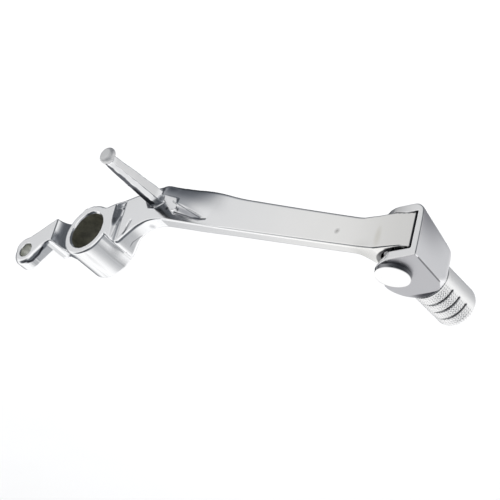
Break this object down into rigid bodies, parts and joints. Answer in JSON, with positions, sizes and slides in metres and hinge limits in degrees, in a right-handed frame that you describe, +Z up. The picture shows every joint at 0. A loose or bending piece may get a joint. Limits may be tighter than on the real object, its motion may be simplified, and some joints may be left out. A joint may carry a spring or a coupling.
{
  "type": "motorcycle brake pedal",
  "caption": "Cast rear brake pedal with a pivot tube, a rod eye, a spring finger and a folding, sprung toe piece with a knurled peg.",
  "frame": {"origin": "centre of the pivot bore's inboard mouth, in the plane of the inboard faces", "axes": "+X forward along the blade to the toe, +Y inboard towards the machine, +Z up"},
  "size_m": [0.2189, 0.0818, 0.0622],
  "materials": {
    "cast_alloy": "polished casting",
    "toe_alloy": "polished casting",
    "knurl_alloy": "knurled",
    "pin_steel": "polished",
    "dark_steel": "satin",
    "spring_steel": "wire"
  },
  "bodies": {
    "lever": {"lever": "cast_alloy", "return_spring": "spring_steel"},
    "toe": {"toe_block": "toe_alloy", "toe_peg": "knurl_alloy", "peg_screw": "dark_steel", "hinge_pin": "pin_steel", "pin_washer": "dark_steel", "pin_clip": "dark_steel"}
  },
  "joints": [
    {"name": "toe_fold", "type": "hinge", "parent": "lever", "child": "toe", "pos_m": [0.1617, -0.0086, 0.0335], "axis": [0, 0, 1], "range_deg": [-50, 0], "stiffness_Nm_per_rad": 0.3, "springref_deg": 51.57, "deforming": ["return_spring"]}
  ]
}
